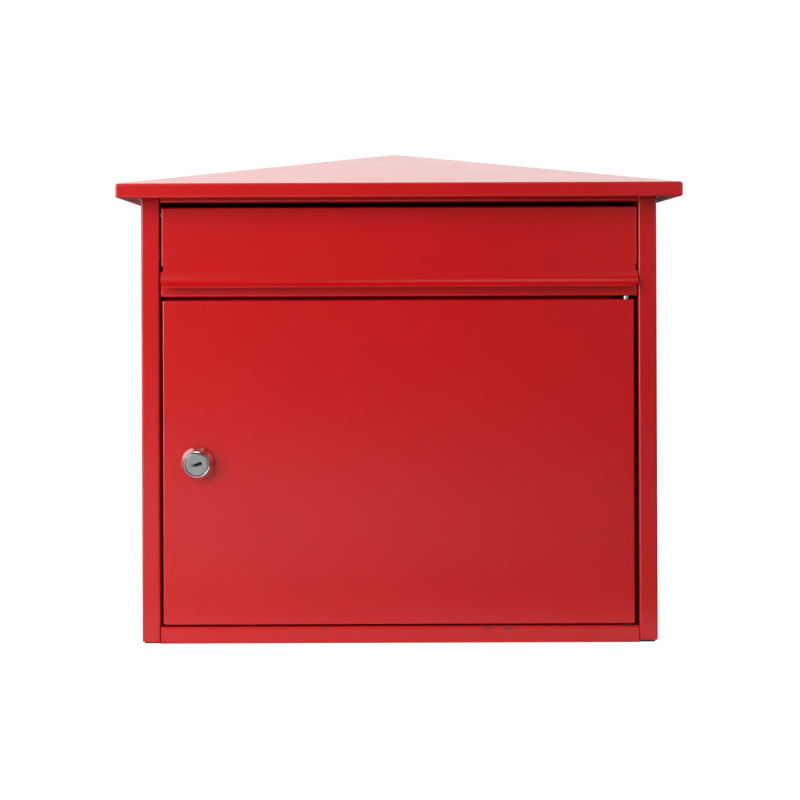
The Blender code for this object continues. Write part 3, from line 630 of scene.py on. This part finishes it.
def make_base_tray(finish):
    xs = [TRAY_HALF, TRAY_HALF - SLIT_DEPTH, RAIL_HALF + SLIT, RAIL_HALF]
    xs = [-x for x in xs] + xs[::-1]
    post_rear = STOP_Y + POST_CLEARANCE
    ys = [FRONT_Y, FRONT_Y + SLIT_DEPTH, post_rear, post_rear + SLIT]
    ys += [TRAY_REAR_Y - UPSTAND, TRAY_REAR_Y]
    under_posts = [(i, 0) for i in (0, 1, 2, 4, 5, 6)]
    skip = under_posts + [(0, 2), (6, 2), (0, 4), (6, 4)]
    panels = cells(xs, ys, lambda x, y: (x, y, 0), skip)
    for side in (-1, 1):
        panels += cells(ys[3:5], [0, UPSTAND], lambda y, z, s=side: (s * TRAY_HALF, y, z))
    panels += cells(xs[1:-1], [0, UPSTAND], lambda x, z: (x, TRAY_REAR_Y, z))
    front = [-RAIL_HALF, STOP_LEFT, STOP_RIGHT, RAIL_HALF]
    strip = [(-RAIL_HALF, FRONT_Y, 0), (RAIL_HALF, FRONT_Y, 0)]
    panels.append(strip + [(x, FRONT_Y, SILL_TOP) for x in reversed(front)])
    panels += cells(front, [FRONT_Y, STOP_Y], lambda x, y: (x, y, SILL_TOP))
    lip = [SILL_TOP, SILL_TOP + STOP_LIP]
    panels += cells(front[1:3], lip, lambda x, z: (x, STOP_Y, z))
    hole = hole_cutter(PIN_RADIUS + GAP, (HINGE_X, HINGE_Y, SILL_TOP), (0, 0, 1))
    tray = folded_sheet("base_tray_sheet", panels, (0, 0, -1), cutters=[hole])
    stand_for(tray, "cabinet", "red_paint", finish, "base_tray")


def make_header_rail(finish):
    half = HEADER_FLANGE_HALF
    xs = [-RAIL_HALF, -half - SLIT, -half, half, half + SLIT, RAIL_HALF]
    top = roof_underside(RAIL_Y - ROOF_FRONT_Y)
    heights = [HEADER_BOTTOM, top - SLIT_DEPTH, top]
    panels = cells(xs, heights, lambda x, z: (x, RAIL_Y, z), ((1, 1), (3, 1)))
    panels += cells(xs, [RAIL_Y, RAIL_Y + RAIL_FLANGE], lambda x, y: (x, y, HEADER_BOTTOM))
    flange_y = [RAIL_Y, RAIL_Y + TOP_FLANGE]
    panels += cells([-half, half], flange_y, lambda x, y: (x, y, top + (y - RAIL_Y) * SLOPE))
    rail = folded_sheet("header_rail_sheet", panels, (0, -1, 0))
    stand_for(rail, "cabinet", "red_paint", finish, "header_rail")


def make_cross_bar(finish):
    xs = [-RAIL_HALF, STOP_LEFT, STOP_RIGHT, RAIL_HALF]
    heights, depths = [BAR_BOTTOM, BAR_TOP], [RAIL_Y, STOP_Y]
    panels = cells(xs, heights, lambda x, z: (x, RAIL_Y, z))
    for z in heights:
        panels += cells(xs, depths, lambda x, y, z=z: (x, y, z))
    for x in (-RAIL_HALF, RAIL_HALF):
        panels += cells(depths, heights, lambda y, z, x=x: (x, y, z))
    lip = [BAR_BOTTOM, BAR_BOTTOM - STOP_LIP]
    panels += cells(xs[1:3], lip, lambda x, z: (x, STOP_Y, z))
    hole = hole_cutter(PIN_RADIUS + GAP, (HINGE_X, HINGE_Y, BAR_BOTTOM), (0, 0, 1))
    bar = folded_sheet("cross_bar_sheet", panels, (0, -1, 0), cutters=[hole])
    stand_for(bar, "cabinet", "red_paint", finish, "cross_bar")


# ---------------------------------------------------------------- flap
def lip_corner_inset(from_edge):
    """How far the lip's rounded corner pulls in its side, this far up from its edge."""
    if from_edge >= LIP_CORNER:
        return 0
    return LIP_CORNER - math.sqrt(LIP_CORNER**2 - (LIP_CORNER - from_edge) ** 2)


def make_flap(finish):
    left, right = FLAP_LOW.x + LIP_WIDER, FLAP_HIGH.x - LIP_WIDER
    zone = LIP_CORNER + SLIT
    xs = [left, left + FLAP_NOTCH, left + zone, right - zone, right - FLAP_NOTCH, right]
    rows = [(FRONT_Y, FLAP_TOP), (FRONT_Y, FLAP_NOTCH_TOP), (FRONT_Y, LIP_START)]
    for step in range(1, LIP_STEPS + 1):
        angle = LIP_ANGLE * step / LIP_STEPS
        y = FRONT_Y - LIP_RADIUS * (1 - math.cos(angle))
        rows.append((y, LIP_START - LIP_RADIUS * math.sin(angle)))

    def place(x, row):
        y, z = rows[row]
        from_edge = LIP_RADIUS * LIP_ANGLE * (len(rows) - 1 - row) / LIP_STEPS
        inset = lip_corner_inset(from_edge) - LIP_WIDER if row > 1 else 0
        share = max(0, 1 - min(x - left, right - x) / zone)
        return (x - math.copysign(1, x) * inset * share, y, z)

    panels = cells(xs, range(len(rows)), place, ((0, 1), (4, 1)))
    panels += cells(xs, [FRONT_Y, FRONT_Y + FLAP_RETURN_TOP], lambda x, y: (x, y, FLAP_TOP))
    for x in (left, right):
        panels.append(
            [
                (x, FRONT_Y, FLAP_TOP),
                (x, FRONT_Y, FLAP_NOTCH_TOP),
                (x, FRONT_Y + FLAP_RETURN_BOTTOM, FLAP_NOTCH_TOP),
                (x, FRONT_Y + FLAP_RETURN_TOP, FLAP_TOP),
            ]
        )
    holes = [hole_cutter(ROD_RADIUS + GAP, (x, ROD_Y, ROD_Z), (1, 0, 0)) for x in (left, right)]
    flap = folded_sheet("flap_sheet", panels, (0, -1, 0), DOOR_SHEET, FLAP_BEND, holes)
    stand_for(flap, "flap", "red_paint", finish, "flap")


def make_flap_hardware(zinc, nylon):
    narrow = ROD_RADIUS - ROD_CHAMFER
    profile = [(0, ROD_LOW.x), (narrow, ROD_LOW.x), (ROD_RADIUS, ROD_LOW.x + ROD_CHAMFER)]
    profile += [(ROD_RADIUS, ROD_HIGH.x - ROD_CHAMFER), (narrow, ROD_HIGH.x), (0, ROD_HIGH.x)]
    rod = turned("flap_rod_turned", profile, (0, ROD_Y, ROD_Z), (1, 0, 0), 32)
    stand_for(rod, "flap", "zinc_steel", zinc, "flap_rod")
    for side, word in ((-1, "left"), (1, "right")):
        bore = ROD_RADIUS + GAP
        low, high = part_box("flap_bush_" + word)
        near, far = sorted((abs(low.x), abs(high.x)))
        flange = POST_INNER + SHEET + GAP
        profile = [(bore, near), (BUSH_RADIUS, near), (BUSH_RADIUS, flange)]
        profile += [(BUSH_FLANGE_RADIUS, flange), (BUSH_FLANGE_RADIUS, flange + BUSH_FLANGE)]
        profile += [(BUSH_RADIUS, flange + BUSH_FLANGE), (BUSH_RADIUS, far), (bore, far)]
        shaped = rounded(profile, BUSH_EDGE, 3)
        bush = turned(f"flap_bush_{word}_turned", shaped, (0, ROD_Y, ROD_Z), (side, 0, 0), 40)
        stand_for(bush, "cabinet", "nylon", nylon, "flap_bush_" + word)
        low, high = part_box("flap_clip_" + word)
        near, far = sorted((abs(low.x), abs(high.x)))
        rim = (high.z - low.z) / 2
        middle = (near + far) / 2
        profile = [(bore, near), (rim, middle - CLIP_DISH), (rim, far)]
        profile += [(rim - CLIP_RIM, far), (bore, middle)]
        clip = turned(f"flap_clip_{word}_turned", profile, (0, ROD_Y, ROD_Z), (side, 0, 0), 40)
        stand_for(clip, "flap", "zinc_steel", zinc, "flap_clip_" + word)


def make_buffers(rubber):
    for node in BUFFERS:
        low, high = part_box(node)
        radius, height = (high.x - low.x) / 2, high.y - low.y
        dome = [(0, 0), (radius, 0)]
        for step in range(DOME_STEPS + 1):
            angle = math.pi / 2 * step / DOME_STEPS
            across = 1 - BUFFER_CROWN + BUFFER_CROWN * math.cos(angle)
            up = BUFFER_WALL + (1 - BUFFER_WALL) * math.sin(angle)
            dome.append((radius * across, height * up))
        dome.append((0, height))
        centre = ((low.x + high.x) / 2, high.y, (low.z + high.z) / 2)
        buffer = turned(node + "_dome", dome, centre, (0, -1, 0), 32)
        stand_for(buffer, "cabinet", "rubber", rubber, node)


# ---------------------------------------------------------------- door
def make_door(finish):
    xs, zs = [DOOR_LOW.x, DOOR_HIGH.x], [DOOR_LOW.z, DOOR_HIGH.z]
    ys = [DOOR_LOW.y, DOOR_HIGH.y]
    panels = cells(xs, zs, lambda x, z: (x, FRONT_Y, z))
    for x in xs:
        panels += cells(ys, zs, lambda y, z, x=x: (x, y, z))
    for z in zs:
        panels += cells(xs, ys, lambda x, y, z=z: (x, y, z))
    holes = [hole_cutter(PIN_RADIUS + GAP, (HINGE_X, HINGE_Y, z), (0, 0, 1)) for z in zs]
    holes.append(hole_cutter(BARREL_RADIUS + GAP, (LOCK_X, FRONT_Y, LOCK_Z), (0, 1, 0)))
    door = folded_sheet("door_sheet", panels, (0, -1, 0), DOOR_SHEET, DOOR_BEND, holes)
    stand_for(door, "door", "red_paint", finish, "door")


def make_hinge(zinc, nylon):
    hinge, up = (HINGE_X, HINGE_Y, 0), (0, 0, 1)
    narrow = PIN_RADIUS - PIN_CHAMFER
    for word in ("top", "bottom"):
        low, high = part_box("door_pin_" + word)
        profile = [(0, low.z), (narrow, low.z), (PIN_RADIUS, low.z + PIN_CHAMFER)]
        profile += [(PIN_RADIUS, high.z - PIN_CHAMFER), (narrow, high.z), (0, high.z)]
        shaped = rounded(profile, SMALL_EDGE, 3)
        pin = turned(f"door_pin_{word}_turned", shaped, hinge, up, 32)
        stand_for(pin, "cabinet", "zinc_steel", zinc, "door_pin_" + word)
    low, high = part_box("door_washer")
    bore, rim = PIN_RADIUS + GAP, (high.x - low.x) / 2
    profile = [(bore, low.z), (rim, low.z), (rim, high.z), (bore, high.z)]
    washer = turned("door_washer_turned", rounded(profile, SMALL_EDGE, 3), hinge, up, 40)
    stand_for(washer, "cabinet", "nylon", nylon, "door_washer")


# ---------------------------------------------------------------- lock
def thread(radius, start, end, pitch=1 * MM, depth=0.35 * MM):
    """Profile points of a fine thread's ridges from start to end."""
    points = []
    for i in range(int((end - start) / pitch)):
        points += [(radius, start + i * pitch), (radius - depth, start + (i + 0.5) * pitch)]
    return points + [(radius, end)]


def make_lock(chrome, face_metal, zinc, rubber, brass):
    centre, back = (LOCK_X, FRONT_Y, LOCK_Z), (0, 1, 0)
    bore = PLUG_RADIUS + GAP
    front = -LOCK_PROUD
    head = [
        (bore + MOUTH_INNER, front + MOUTH_DEPTH),
        (bore + MOUTH_OUTER, front),
        (LOCK_RING - LOCK_CHAMFER, front),
        (LOCK_RING, front + LOCK_CHAMFER),
        (LOCK_RING + SKIRT_STEP, front + SKIRT_START),
        (LOCK_BASE, LOCK_SEAT - LOCK_RIM),
    ]
    shell = rounded(head, LOCK_EDGE, 5) + [(LOCK_BASE, LOCK_SEAT), (BARREL_RADIUS, LOCK_SEAT)]
    shell += thread(BARREL_RADIUS, 0, BARREL_LENGTH) + [(bore, BARREL_LENGTH)]
    housing = turned("lock_housing_turned", shell, centre, back, 96)
    stand_for(housing, "door", "chrome", chrome, "lock_housing")

    low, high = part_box("lock_gasket")
    hole, rim = BARREL_RADIUS + GAP, (high.x - low.x) / 2
    near, far = low.y - FRONT_Y, high.y - FRONT_Y
    profile = [(hole, near), (rim, near), (rim, far), (hole, far)]
    gasket = turned("lock_gasket_turned", rounded(profile, SMALL_EDGE, 3), centre, back, 64)
    stand_for(gasket, "door", "rubber", rubber, "lock_gasket")

    make_nut(zinc)
    make_plug(face_metal, brass, rubber)
    make_cam(zinc)
    make_cam_screw(zinc)


def make_nut(zinc):
    low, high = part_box("lock_nut")
    middle, back = Vector((LOCK_X, (low.y + high.y) / 2, LOCK_Z)), (0, 1, 0)
    nut = hole_cutter((high.z - low.z) / 2, middle, back, high.y - low.y, 6)
    nut.name = "lock_nut_hex"
    cut_away(nut, hole_cutter(BARREL_RADIUS + GAP, middle, back, sides=64))
    soften_edges(nut, NUT_EDGE, 3)
    stand_for(nut, "door", "zinc_steel", zinc, "lock_nut")


def make_plug(face_metal, brass, shade):
    """The turning plug with its key slot, the brass wafer in its left end and a dark block of
    painted shade deep in the slot.
    """
    low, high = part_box("lock_plug")
    face, end = low.y - FRONT_Y, high.y - FRONT_Y
    profile = [
        (0, face),
        (PLUG_RADIUS, face),
        (PLUG_RADIUS, BARREL_LENGTH),
        (STUD_RADIUS, BARREL_LENGTH),
        (STUD_RADIUS, end),
        (SCREW_BORE, end),
        (SCREW_BORE, end - SCREW_BORE_DEPTH),
        (0, end - SCREW_BORE_DEPTH),
    ]
    centre, back = (LOCK_X, FRONT_Y, LOCK_Z), (0, 1, 0)
    plug = turned("lock_plug_turned", rounded(profile, PLUG_EDGE, 5), centre, back, 80)
    on_face = Matrix.Translation((LOCK_X, FRONT_Y + face, LOCK_Z))
    on_face = on_face @ Matrix.Rotation(-KEYWAY_TILT, 4, "Y")
    for middle, size in KEYWAY_BOXES:
        cut_away(plug, new_object("cutter", block(on_face, middle, size)))
    soften_edges(plug, SMALL_EDGE, 3)
    stand_for(plug, "lock_core", "chrome", face_metal, "lock_plug")

    shape = block(on_face, *WAFER_BOX)
    bmesh.ops.bevel(shape, geom=shape.edges, offset=WAFER_EDGE, segments=2, affect="EDGES")
    wafer = new_object("lock_wafer", shape)
    wafer.data.shade_smooth()
    wafer.data.materials.append(brass)
    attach(wafer, "lock_core")

    # Painted shade: a dark block set deep in the key slot darkens it.
    keyway_shade_block = new_object("lock_keyway_shade", block(on_face, *KEYWAY_SHADE_BOX))
    keyway_shade_block.data.materials.append(shade)
    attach(keyway_shade_block, "lock_core")


def make_cam(zinc):
    """The cam's plate: half round about the lock's axis, with straight sides to its foot."""
    outline = []
    for step in range(CAM_ARC_STEPS + 1):
        angle = math.pi * step / CAM_ARC_STEPS
        outline.append((CAM_HALF * math.cos(angle), CAM_HALF * math.sin(angle)))
    foot = CAM_LOW.z - LOCK_Z + CAM_CORNER
    quarter = range(CAM_CORNER_STEPS + 1)
    for side, steps in ((-1, quarter), (1, reversed(quarter))):
        for step in steps:
            angle = math.pi / 2 * step / CAM_CORNER_STEPS
            x = CAM_HALF - CAM_CORNER + CAM_CORNER * math.cos(angle)
            outline.append((side * x, foot - CAM_CORNER * math.sin(angle)))
    shape = bmesh.new()
    points = [shape.verts.new((LOCK_X + x, CAM_LOW.y, LOCK_Z + z)) for x, z in outline]
    pushed = bmesh.ops.extrude_face_region(shape, geom=[shape.faces.new(points)])
    moved = [item for item in pushed["geom"] if isinstance(item, bmesh.types.BMVert)]
    bmesh.ops.translate(shape, vec=(0, CAM_HIGH.y - CAM_LOW.y, 0), verts=moved)
    bmesh.ops.recalc_face_normals(shape, faces=shape.faces)
    cam = new_object("lock_cam_plate", shape)
    cut_away(cam, hole_cutter(CAM_HOLE, (LOCK_X, CAM_LOW.y, LOCK_Z), (0, 1, 0)))
    soften_edges(cam, CAM_EDGE, 3)
    stand_for(cam, "lock_core", "zinc_steel", zinc, "lock_cam")


def make_cam_screw(zinc):
    axis_foot, back = (LOCK_X, 0, LOCK_Z), (0, 1, 0)
    low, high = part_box("cam_washer")
    rim = (high.x - low.x) / 2
    profile = [(SCREW_BORE, low.y), (rim, low.y), (rim, high.y), (SCREW_BORE, high.y)]
    shaped = rounded(profile, SMALL_EDGE, 3)
    washer = turned("cam_washer_turned", shaped, axis_foot, back, 48)
    stand_for(washer, "lock_core", "zinc_steel", zinc, "cam_washer")

    low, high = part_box("cam_screw")
    head, seat = (high.x - low.x) / 2, high.y - SCREW_HEAD
    shoulder = seat + SCREW_WALL
    profile = [(0, low.y), (SCREW_RADIUS, low.y), (SCREW_RADIUS, seat), (head, seat)]
    profile.append((head, shoulder))
    for step in range(1, DOME_STEPS + 1):
        angle = math.pi / 2 * step / DOME_STEPS
        rise = (high.y - shoulder) * math.sin(angle)
        profile.append((head * math.cos(angle), shoulder + rise))
    screw = turned("cam_screw_turned", profile, axis_foot, back, 40)
    top = Matrix.Translation((LOCK_X, high.y, LOCK_Z))
    for quarters in (0, 1):
        turn = Matrix.Rotation(math.pi / 2 * quarters, 4, "Y")
        cut_away(screw, new_object("cutter", block(top @ turn, (0, 0, 0), SCREW_SLOT)))
    soften_edges(screw, SCREW_EDGE, 2)
    stand_for(screw, "lock_core", "zinc_steel", zinc, "cam_screw")


# ---------------------------------------------------------------- studio
CAMERA_PLACE = Vector((-0.0186, -1.150, 0.257))
CAMERA_LENS = 67.15
CAMERA_SHIFT = (0.0338, -0.1437)
CAMERA_ROLL = math.radians(-0.21)
FLOOR_RADIUS = 9
FLOOR_DROP = 0.2 * MM  # below the feet, so that the two surfaces don't flicker


def make_camera():
    camera = bpy.data.objects.new("camera", bpy.data.cameras.new("camera"))
    bpy.context.scene.collection.objects.link(camera)
    camera.data.lens = CAMERA_LENS
    camera.data.sensor_width = 36
    camera.data.shift_x, camera.data.shift_y = CAMERA_SHIFT
    camera.data.clip_start = 0.05
    camera.data.clip_end = 60
    level = Matrix.Rotation(math.pi / 2, 4, "X")
    roll = Matrix.Rotation(CAMERA_ROLL, 4, "Z")
    camera.matrix_world = Matrix.Translation(CAMERA_PLACE) @ level @ roll
    bpy.context.scene.camera = camera


def make_floor():
    """White paper for the object to reflect, with painted light: a bright pool at the front
    left and a faintly glowing bright strip by the sill. The camera sees it as plain white.
    """
    shape = bmesh.new()
    bmesh.ops.create_circle(shape, cap_ends=True, segments=96, radius=FLOOR_RADIUS)
    bmesh.ops.translate(shape, vec=(0, 0, -FLOOR_DROP), verts=shape.verts)
    floor = new_object("floor", shape)
    paper = Finish("white_paper", 0.9)
    tree = paper.material.node_tree
    # Painted light: brightest in a pool at the front left, where the key lamp falls, and in a
    # strip by the sill that also glows; darker further off.
    painted_light_pool = paper.ramp(paper.near((-0.60, -0.70, 0), (1.5, 1.0, 1)), 0.1, 0.7, 0.12, 0.80)
    strip = paper.ramp(paper.near((0, -0.12, 0), (0.40, 0.09, 1)), 0.0, 0.5, 0.0, 0.88)
    paper.link(paper.maths("MAXIMUM", painted_light_pool, strip), paper.shader, "Base Color")
    paper.shader.inputs["Emission Color"].default_value = grey(1)
    paper.link(paper.maths("MULTIPLY", strip, 0.12), paper.shader, "Emission Strength")
    paper.shader.inputs["Specular IOR Level"].default_value = 0.1
    seen = tree.nodes.new("ShaderNodeBsdfDiffuse")
    seen.inputs["Color"].default_value = grey(0.9)
    glow = tree.nodes.new("ShaderNodeEmission")
    glow.inputs["Strength"].default_value = 0.70
    both = tree.nodes.new("ShaderNodeAddShader")
    tree.links.new(seen.outputs["BSDF"], both.inputs[0])
    tree.links.new(glow.outputs["Emission"], both.inputs[1])
    path = tree.nodes.new("ShaderNodeLightPath")
    choice = tree.nodes.new("ShaderNodeMixShader")
    tree.links.new(path.outputs["Is Camera Ray"], choice.inputs["Fac"])
    tree.links.new(paper.shader.outputs["BSDF"], choice.inputs[1])
    tree.links.new(both.outputs["Shader"], choice.inputs[2])
    out = next(node for node in tree.nodes if node.type == "OUTPUT_MATERIAL")
    tree.links.new(choice.outputs["Shader"], out.inputs["Surface"])
    floor.data.materials.append(paper.material)


def add_light(name, place, aim, size, power):
    data = bpy.data.lights.new(name, "AREA")
    data.shape = "RECTANGLE"
    data.size, data.size_y = size
    data.energy = power
    lamp = bpy.data.objects.new(name, data)
    bpy.context.scene.collection.objects.link(lamp)
    lamp.location = place
    lamp.rotation_euler = (Vector(aim) - Vector(place)).to_track_quat("-Z", "Y").to_euler()


def make_world():
    """A studio's surroundings by direction: bright behind, dimmer in front and at the sides."""
    world = bpy.data.worlds.new("studio")
    bpy.context.scene.world = world
    world.use_nodes = True
    tree = world.node_tree
    tree.nodes.clear()
    out = tree.nodes.new("ShaderNodeOutputWorld")
    place = tree.nodes.new("ShaderNodeTexCoord")
    split = tree.nodes.new("ShaderNodeSeparateXYZ")
    tree.links.new(place.outputs["Generated"], split.inputs["Vector"])

    def rise(axis, start, end, low, high):
        step = tree.nodes.new("ShaderNodeMapRange")
        step.interpolation_type = "SMOOTHSTEP"
        tree.links.new(split.outputs[axis], step.inputs["Value"])
        sockets = ("From Min", "From Max", "To Min", "To Max")
        for socket, value in zip(sockets, (start, end, low, high)):
            step.inputs[socket].default_value = value
        return step.outputs["Result"]

    def joined(how, first, second):
        node = tree.nodes.new("ShaderNodeMath")
        node.operation = how
        tree.links.new(first, node.inputs[0])
        tree.links.new(second, node.inputs[1])
        return node.outputs["Value"]

    above = rise("Z", -0.05, 0.12, 0.05, 1.0)
    behind = joined("MULTIPLY", rise("Y", 0.1, 0.8, 0.0, 1.39), above)
    left = rise("X", -0.95, -0.55, 0.15, 0.0)
    dimmer_up = rise("Z", 0.0, 0.5, 1.0, 0.5)
    front = joined("MULTIPLY", rise("X", -0.5, 0.4, 0.26, 0.08), dimmer_up)
    light = joined("ADD", joined("ADD", behind, left), front)
    lit = tree.nodes.new("ShaderNodeBackground")
    lit.inputs["Color"].default_value = grey(1)
    tree.links.new(light, lit.inputs["Strength"])
    seen = tree.nodes.new("ShaderNodeBackground")
    seen.inputs["Color"].default_value = grey(1)
    path = tree.nodes.new("ShaderNodeLightPath")
    both = tree.nodes.new("ShaderNodeMixShader")
    tree.links.new(path.outputs["Is Camera Ray"], both.inputs["Fac"])
    tree.links.new(lit.outputs["Background"], both.inputs[1])
    tree.links.new(seen.outputs["Background"], both.inputs[2])
    tree.links.new(both.outputs["Shader"], out.inputs["Surface"])


def make_studio():
    make_camera()
    make_floor()
    make_world()
    middle = (0, FRONT_Y, 0.18)
    add_light("key", (-0.98, -0.98, 0.92), middle, (0.7, 1.1), 15.5)
    add_light("side_strip", (-1.10, -0.55, 0.32), middle, (0.25, 0.9), 6)
    add_light("overhead", (-0.15, -0.36, 1.60), middle, (1.3, 0.25), 2.6)
    add_light("fill", (1.20, -1.50, 0.85), middle, (1.2, 1.2), 7.5)
    bpy.context.scene.view_settings.view_transform = "Standard"


def at(x, z, y=None):
    return (x * MM, FRONT_Y if y is None else y, z * MM)


def main():
    sill_marks = [
        (at(-54.5, 11.4), (0.0045, 0.003, 0.0014)),
        (at(63, 10.6), (0.008, 0.003, 0.0017)),
        (at(78, 10.6), (0.008, 0.003, 0.0017)),
    ]
    tray_edge = FRONT_Y + SLIT_DEPTH
    # Painted shade: near black on the tray's front edge under each post, where the post's
    # shadow falls.
    tray_painted_shade = [(at(side * 178.5, 0, tray_edge), (0.020, 0.006, 0.006)) for side in (-1, 1)]
    door_marks = [(at(128.6, 92.1), (0.0010, 0.003, 0.0010))]
    cabinet_red = red_paint("red_paint_cabinet")
    sill_red = red_paint("red_paint_sill", sill_marks, tray_painted_shade)
    door_red = red_paint("red_paint_door", specks_and_shade=door_marks)
    chrome = polished_chrome("polished_chrome")
    face_metal = satin_metal("satin_chrome", grey(0.57), (0.42, 0.42, 0.43, 1), 0.28)
    zinc = satin_metal("zinc_plate", (0.66, 0.67, 0.68, 1), (0.50, 0.51, 0.53, 1), 0.30)
    brass = satin_metal("brass", (0.62, 0.42, 0.16, 1), (0.45, 0.28, 0.10, 1), 0.25)
    nylon = moulded("black_nylon", grey(0.012), grey(0.018), 0.55, 0.2)
    rubber = moulded("black_rubber", grey(0.022), (0.032, 0.031, 0.03, 1), 0.72, 0.4)

    make_roof(cabinet_red)
    make_side_panel(-1, LEFT_LOW, cabinet_red)
    make_side_panel(1, POST_LOW, cabinet_red)
    make_back_panel(cabinet_red)
    make_base_tray(sill_red)
    make_header_rail(cabinet_red)
    make_cross_bar(cabinet_red)
    make_flap(door_red)
    make_flap_hardware(zinc, nylon)
    make_buffers(rubber)
    make_door(door_red)
    make_hinge(zinc, nylon)
    make_lock(chrome, face_metal, zinc, rubber, brass)
    make_studio()


main()
bpy.context.view_layer.update()
